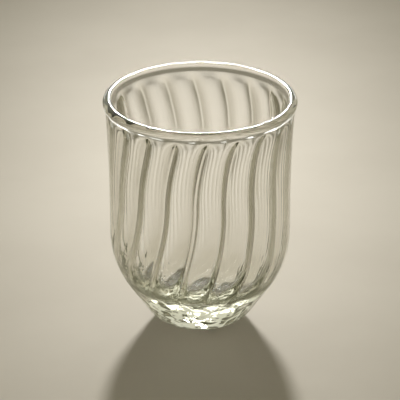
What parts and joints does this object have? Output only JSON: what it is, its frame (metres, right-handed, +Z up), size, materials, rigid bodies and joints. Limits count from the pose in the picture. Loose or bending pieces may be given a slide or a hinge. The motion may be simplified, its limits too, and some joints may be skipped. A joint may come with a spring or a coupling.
{
  "type": "drinking glass",
  "caption": "Hand-blown clear tumbler, smooth outside, with ridges inside that sweep down its wall, a rolled lip, a rounded bowl and a small flat foot.",
  "frame": {"origin": "middle of the flat face that the glass rests on", "axes": "+Z up along the axis of the glass, -Y towards the viewer of the picture"},
  "size_m": [0.08, 0.08, 0.1],
  "materials": {
    "clear_glass": "fire-polished clear glass with a faint olive tint"
  },
  "bodies": {
    "root": {"lip_bead": "clear_glass", "ribbed_wall": "clear_glass", "solid_base": "clear_glass"}
  },
  "joints": []
}
